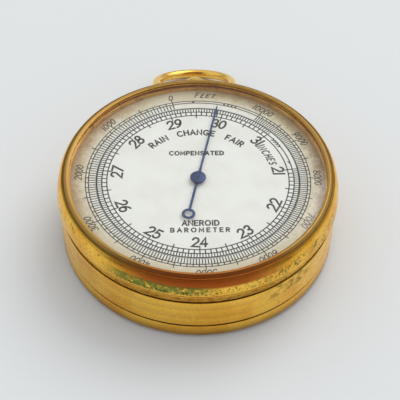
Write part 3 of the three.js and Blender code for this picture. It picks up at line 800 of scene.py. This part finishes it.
def swept(path, wire, sides):
    """A round wire along a flat path, thinner where it enters the ball."""
    pin_share, pin_points = 0.62, 3
    vertices, faces = [], []
    n = len(path)
    for i, (x, y) in enumerate(path):
        ahead = Vector(path[min(i + 1, n - 1)]) - Vector(path[max(i - 1, 0)])
        out = Vector((ahead.y, -ahead.x)).normalized()
        size = wire * (pin_share if min(i, n - 1 - i) < pin_points else 1.0)
        for k in range(sides):
            a = 2 * math.pi * k / sides
            sideways = size * math.cos(a)
            vertices.append((x + out.x * sideways, y + out.y * sideways, size * math.sin(a)))
    for i in range(n - 1):
        for k in range(sides):
            a, b = i * sides + k, i * sides + (k + 1) % sides
            faces.append((a, b, b + sides, a + sides))
    faces.append(tuple(range(sides))[::-1])
    faces.append(tuple((n - 1) * sides + k for k in range(sides)))
    return vertices, faces


# ---------------------------------------------------------------- dial, ring and glass

def build_dial(silver, wax):
    low, edge, hole = DIAL_TOP - 0.5, 0.04, 0.9
    profile = [(hole, low), (DIAL_RADIUS, low), (DIAL_RADIUS, DIAL_TOP - edge),
               (DIAL_RADIUS - edge, DIAL_TOP), (16, DIAL_TOP), (9, DIAL_TOP),
               (hole + edge, DIAL_TOP), (hole, DIAL_TOP - edge)]
    piece = mesh_piece("dial_silvered", "case", "silvered_dial", silver, *turned(profile))
    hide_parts("dial")
    scale = Marks(DIAL_TOP)
    scale.circle(TRACK_INNER, LINE)
    scale.circle(TRACK_OUTER, LINE)
    scale.circle(DIAL_RADIUS - 0.09, FINE_LINE)
    per_inch = 20
    for step in range((INCH_LAST - INCH_FIRST) * per_inch + 1):
        angle = inch_angle(INCH_FIRST + step / per_inch)
        scale.tick(angle, TRACK_OUTER, DIAL_RADIUS - 0.06, FINE_LINE)
        if step % 2 == 0:
            scale.tick(angle, TRACK_INNER, TRACK_OUTER, LINE)
        if step % 10 == 0:
            length = 0.8 if step % per_inch == 0 else 0.65
            scale.tick(angle, TRACK_INNER - length, TRACK_INNER, LINE)
    arrow(scale, ARROW_RADIUS, 75.4, 55.4, FINE_LINE)
    mesh_piece("dial_inch_scale", "case", "silvered_dial", wax, scale.vertices, scale.faces)
    words = Marks(DIAL_TOP)
    for inches in range(INCH_FIRST, INCH_LAST + 1):
        inward = 22 <= inches <= 26
        place = on_arc(13.92, inch_angle(inches), inward)
        engrave(words, str(inches), place, 1.86, 0.36, spacing=0.19, slant=0.08, widen=0.93)
    for text, angle in (("RAIN", 323.8), ("CHANGE", 359.2), ("FAIR", 35.4)):
        engrave(words, text, on_arc(11.35, angle), 1.15, 0.29, spacing=0.34)
    engrave(words, "INCHES", on_arc(13.55, 64.4), 1.4, 0.24, spacing=0.32, slant=0.3, widen=0.76,
            small_caps=0.84)
    engrave(words, "COMPENSATED", on_line(-0.14, 6.3), 0.86, 0.25, spacing=0.36, widen=1.02)
    engrave(words, "ANEROID", on_line(0.25, -9.72), 1.05, 0.26, spacing=0.3)
    engrave(words, "BAROMETER", on_line(0.15, -11.25), 0.85, 0.23, spacing=0.62, widen=1.08)
    mesh_piece("dial_lettering", "case", "silvered_dial", wax, words.vertices, words.faces)


def inch_angle(inches):
    return (inches - INCH_AT_TOP) * DEGREES_PER_INCH


def feet_angle(feet):
    """Angle of a height on the ring, anticlockwise as height grows, by the barometric law."""
    pressure = SEA_LEVEL_INCHES * 10 ** (-feet / FEET_PER_DECADE)
    return FEET_ZERO - (SEA_LEVEL_INCHES - pressure) * DEGREES_PER_INCH


def build_altitude_ring(silver, wax):
    top, edge = RING_HIGH.z, 0.04
    outer = RING_HIGH.x
    profile = [(RING_INNER, RING_LOW.z), (outer, RING_LOW.z), (outer, top), (20, top),
               (RING_INNER + edge, top), (RING_INNER, top - edge)]
    piece = mesh_piece("altitude_ring_silvered", "bezel", "silvered_ring", silver, *turned(profile))
    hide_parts("altitude_ring")
    scale = Marks(top)
    scale.circle(FEET_INNER, FINE_LINE)
    scale.circle(FEET_OUTER, FINE_LINE)
    for feet in range(0, FEET_LAST + 1, 50):
        angle = feet_angle(feet)
        scale.tick(angle, RING_INNER + 0.05, FEET_INNER, FINE_LINE)
        if feet % 100 == 0:
            scale.tick(angle, FEET_INNER, FEET_OUTER, FINE_LINE)
        if feet % 500 == 0:
            length = 0.75 if feet % 1000 == 0 else 0.6
            scale.tick(angle, FEET_OUTER, FEET_OUTER + length, FINE_LINE)
    arrow(scale, FEET_ARROW_RADIUS, 358.9 - 360, 21.4, FINE_LINE)
    mesh_piece("altitude_feet_scale", "bezel", "silvered_ring", wax, scale.vertices, scale.faces)
    words = Marks(top)
    for feet in range(0, FEET_LAST + 1, 1000):
        place = on_arc(20.42, feet_angle(feet))
        engrave(words, str(feet), place, 1.14, 0.18, spacing=0.24, slant=0.2, widen=0.95)
    engrave(words, "FEET", on_arc(20.65, 4.9), 1.15, 0.18, spacing=0.3, slant=0.35, small_caps=0.8)
    mesh_piece("altitude_numerals", "bezel", "silvered_ring", wax, words.vertices, words.faces)


def build_glass(material, brass):
    bevel, radius = 0.25, GLASS_HIGH.x
    low, high = GLASS_LOW.z, GLASS_HIGH.z
    profile = [(0, low), (radius, low), (radius, high - bevel), (radius - bevel, high), (0, high)]
    solid = turned(profile, closed=False)
    piece = mesh_piece("crystal_glass", "bezel", "crystal_glass", material, *solid, sharp=20)
    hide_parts("crystal")
    inner, outer, chamfer, groove = 21.7, SPACER_HIGH.x, 0.1, 0.05
    low, high = SPACER_LOW.z, SPACER_HIGH.z
    profile = [(inner, low), (outer, low), (outer, high), (inner + chamfer, high), (inner, high - chamfer),
               (inner, low + 0.5), (inner + groove, low + 0.46), (inner + groove, low + 0.4),
               (inner, low + 0.36)]
    piece = mesh_piece("crystal_spacer_brass", "bezel", "gilt_brass", brass, *turned(profile))
    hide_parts("crystal_spacer_ring")


# ---------------------------------------------------------------- hand

def build_hand(blue):
    reach, tail, angle = 17.8, 8.3, 12.1
    eye, tail_ring, edge = 0.65, 1.135, 0.03
    low, high = HAND_LOW.z, HAND_HIGH.z
    way, side = polar_axes(angle)
    outline = [(-tail + 1.0, 0.2), (-1.6, 0.2), (-1.1, 0.62), (-0.6, 0.86), (0.6, 0.86), (1.1, 0.62),
               (1.6, 0.24), (2.6, 0.18), (15.6, 0.16), (15.95, 0.29), (16.6, 0.29), (17.0, 0.13),
               (reach, 0.05)]
    blade = Marks(high, proud=0, depth=high - low)
    blade.strip([tuple(way * along - side * half) for along, half in outline],
                [tuple(way * along + side * half) for along, half in outline])
    vertices, faces = blade.vertices, blade.faces
    ring_profile = [(eye + 0.03, low), (1.1, low), (tail_ring, low + edge), (tail_ring, high - edge),
                    (1.1, high), (eye + 0.03, high), (eye, high - edge), (eye, low + edge)]
    centre = -way * tail
    ring_vertices, ring_faces = turned(ring_profile, 48)
    start = len(vertices)
    vertices = vertices + [(x + centre.x, y + centre.y, z) for x, y, z in ring_vertices]
    faces = faces + [tuple(start + v for v in face) for face in ring_faces]
    piece = mesh_piece("hand_blued", "hand", "blued_steel", blue, vertices, faces)
    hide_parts("hand")
    hole, radius, low, high = 0.3, HUB_HIGH.x, HUB_LOW.z, HUB_HIGH.z
    profile = [(hole, low), (radius, low), (radius, high - 0.06), (radius - 0.05, high - 0.02),
               (radius - 0.12, high), (0.7, high + 0.05), (0.4, high + 0.07), (hole, high + 0.06)]
    piece = mesh_piece("hand_hub_blued", "hand", "blued_steel", blue, *turned(profile, 96))
    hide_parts("hand_hub")


# ---------------------------------------------------------------- movement

def dress_movement():
    """The inner pieces keep their own meshes and take a finish for each of the record's material slots."""
    brass = ((0.72, 0.50, 0.20), (0.52, 0.34, 0.12), 0.28)
    nickel = ((0.66, 0.64, 0.60), (0.50, 0.48, 0.44), 0.25)
    steel = ((0.52, 0.53, 0.55), (0.36, 0.37, 0.39), 0.2)
    finishes = {
        "movement_brass": grained_metal("movement_brass_grained", *brass),
        "gilt_brass": gilt("gilt_inner"),
        "nickel_silver": grained_metal("nickel_silver_grained", *nickel),
        "steel": grained_metal("steel_grained", *steel),
        "blued_steel": blued_steel("blued_steel_inner"),
    }
    for name, part in frame["nodes"].items():
        if part.hide_render:
            continue
        slot = "blued_steel" if name == "hand_arbor" else part.data.materials[0].name.split(".")[0]
        part.data.materials[0] = finishes[slot]


# ---------------------------------------------------------------- stage, light and camera

def build_stage():
    """A pale table."""
    table = new_material("pale_table")
    tree = table.node_tree
    texture = noise(tree, place_mm(tree), 0.01, 2.0)
    base = mixed(tree, texture, (0.75, 0.775, 0.785), (0.775, 0.795, 0.80))
    finish_material(table, base, 0.75)
    mesh = bpy.data.meshes.new("table")
    half = 3.0
    corners = [(-half, -half, 0), (half, -half, 0), (half, half, 0), (-half, half, 0)]
    mesh.from_pydata(corners, [], [(0, 1, 2, 3)])
    mesh.materials.append(table)
    floor = bpy.data.objects.new("table", mesh)
    bpy.context.scene.collection.objects.link(floor)


def dark_card():
    """A dark warm sheet, curved upwards from the table, that only reflections see.

    It stands for the dark side of the room in front of the object.
    """
    material = new_material("dark_card")
    tree = material.node_tree
    point = place_mm(tree)
    parts = node(tree, "SeparateXYZ", {0: point})
    across = maths(tree, "ABSOLUTE", parts.outputs[0])
    tint = mixed(tree, between(tree, across, 20, 75), (0.17, 0.065, 0.05), (0.13, 0.10, 0.085))
    node(tree, "OutputMaterial", {"Surface": node(tree, "Emission", {"Color": tint}).outputs[0]})
    mesh = bpy.data.meshes.new("dark_card")
    columns, rows = 24, 12
    near, far = 0.1, 0.34
    half_turn, top = 62, 104
    above_table, narrowest = 0.0005, 0.6
    vertices = []
    for row in range(rows + 1):
        up = math.radians(top * row / rows)
        distance = min(far, near / max(0.01, math.cos(up)))
        for column in range(columns + 1):
            turn = math.radians(half_turn * (2 * column / columns - 1))
            vertices.append((distance * math.sin(turn) * max(narrowest, math.cos(up)),
                             -distance * math.cos(turn) * math.cos(up),
                             above_table + distance * math.sin(up)))
    wide = columns + 1
    faces = [(r * wide + c, r * wide + c + 1, (r + 1) * wide + c + 1, (r + 1) * wide + c)
             for r in range(rows) for c in range(columns)]
    mesh.from_pydata(vertices, [], faces)
    mesh.materials.append(material)
    card = bpy.data.objects.new("dark_card", mesh)
    bpy.context.scene.collection.objects.link(card)
    for ray in ("camera", "diffuse", "shadow", "transmission", "volume_scatter"):
        setattr(card, "visible_" + ray, False)


def build_light():
    horizon, overhead = 0.3, 0.815
    world = bpy.data.worlds.new("pale_room")
    world.use_nodes = True
    tree = world.node_tree
    upwards = node(tree, "SeparateXYZ", {0: node(tree, "TexCoord").outputs["Generated"]}).outputs[2]
    background = tree.nodes["Background"]
    background.inputs["Color"].default_value = (0.96, 0.98, 1, 1)
    strength = between(tree, upwards, 0.0, 0.55, horizon, overhead)
    tree.links.new(strength, background.inputs["Strength"])
    bpy.context.scene.world = world
    soft_lamp("key", (0.85, 0.95, 1.6), 1.6, 14.5, (1.0, 0.985, 0.96))


def soft_lamp(name, place, size, power, tint):
    lamp = bpy.data.lights.new(name, "AREA")
    lamp.shape = "DISK"
    lamp.size = size
    lamp.energy = power
    lamp.color = tint
    holder = bpy.data.objects.new(name, lamp)
    holder.location = place
    holder.rotation_euler = (-Vector(place)).to_track_quat("-Z", "Y").to_euler()
    bpy.context.scene.collection.objects.link(holder)


def build_camera():
    """A long lens that looks down at the dial from the front, a little to one side."""
    elevation, turn, distance, lens = 47.286, -1.7, 0.26227, 138.71
    aim_side, aim_up, roll = -0.125, 0.745, -0.8825
    e = math.radians(elevation)
    place = Vector((0, -math.cos(e), math.sin(e))) * distance
    e = math.radians(elevation + aim_up)
    s = math.radians(aim_side)
    back = Vector((math.sin(s) * math.cos(e), -math.cos(s) * math.cos(e), math.sin(e)))
    right = Vector((math.cos(s), math.sin(s), 0))
    up = right.cross(-back)
    r = math.radians(roll)
    axes = (math.cos(r) * right - math.sin(r) * up, math.sin(r) * right + math.cos(r) * up, back)
    matrix = Matrix([(axes[0][i], axes[1][i], axes[2][i], place[i]) for i in range(3)] + [(0, 0, 0, 1)])
    over_dial = Matrix.Translation((0, 0, DIAL_TOP * MM)) @ Matrix.Rotation(math.radians(turn), 4, "Z")
    camera = bpy.data.cameras.new("camera")
    camera.lens = lens
    camera.sensor_width = 36
    camera.clip_start = 0.01
    camera.clip_end = 20
    holder = bpy.data.objects.new("camera", camera)
    holder.matrix_world = over_dial @ matrix
    bpy.context.scene.collection.objects.link(holder)
    bpy.context.scene.camera = holder


def build():
    build_camera()
    build_light()
    build_stage()
    dark_card()
    bpy.context.scene.view_settings.view_transform = "Standard"
    build_bezel(gilt("gilt_bezel", bezel_stains))
    build_middle_case(gilt("gilt_case", case_stains))
    build_back_cover(gilt("gilt_cover", cover_stains))
    worn_gilt = gilt("gilt_worn_pale", pale=0.9)
    build_pendant(worn_gilt)
    build_bow(worn_gilt)
    wax = engraving_wax("engraving_wax")
    build_dial(silvered("silvered_dial_grain", False), wax)
    build_altitude_ring(silvered("silvered_ring_tarnished", True), wax)
    build_glass(glass("crystal_clear"), dull_brass("spacer_dull_brass"))
    build_hand(blued_steel("blued_steel_hand"))
    dress_movement()


build()
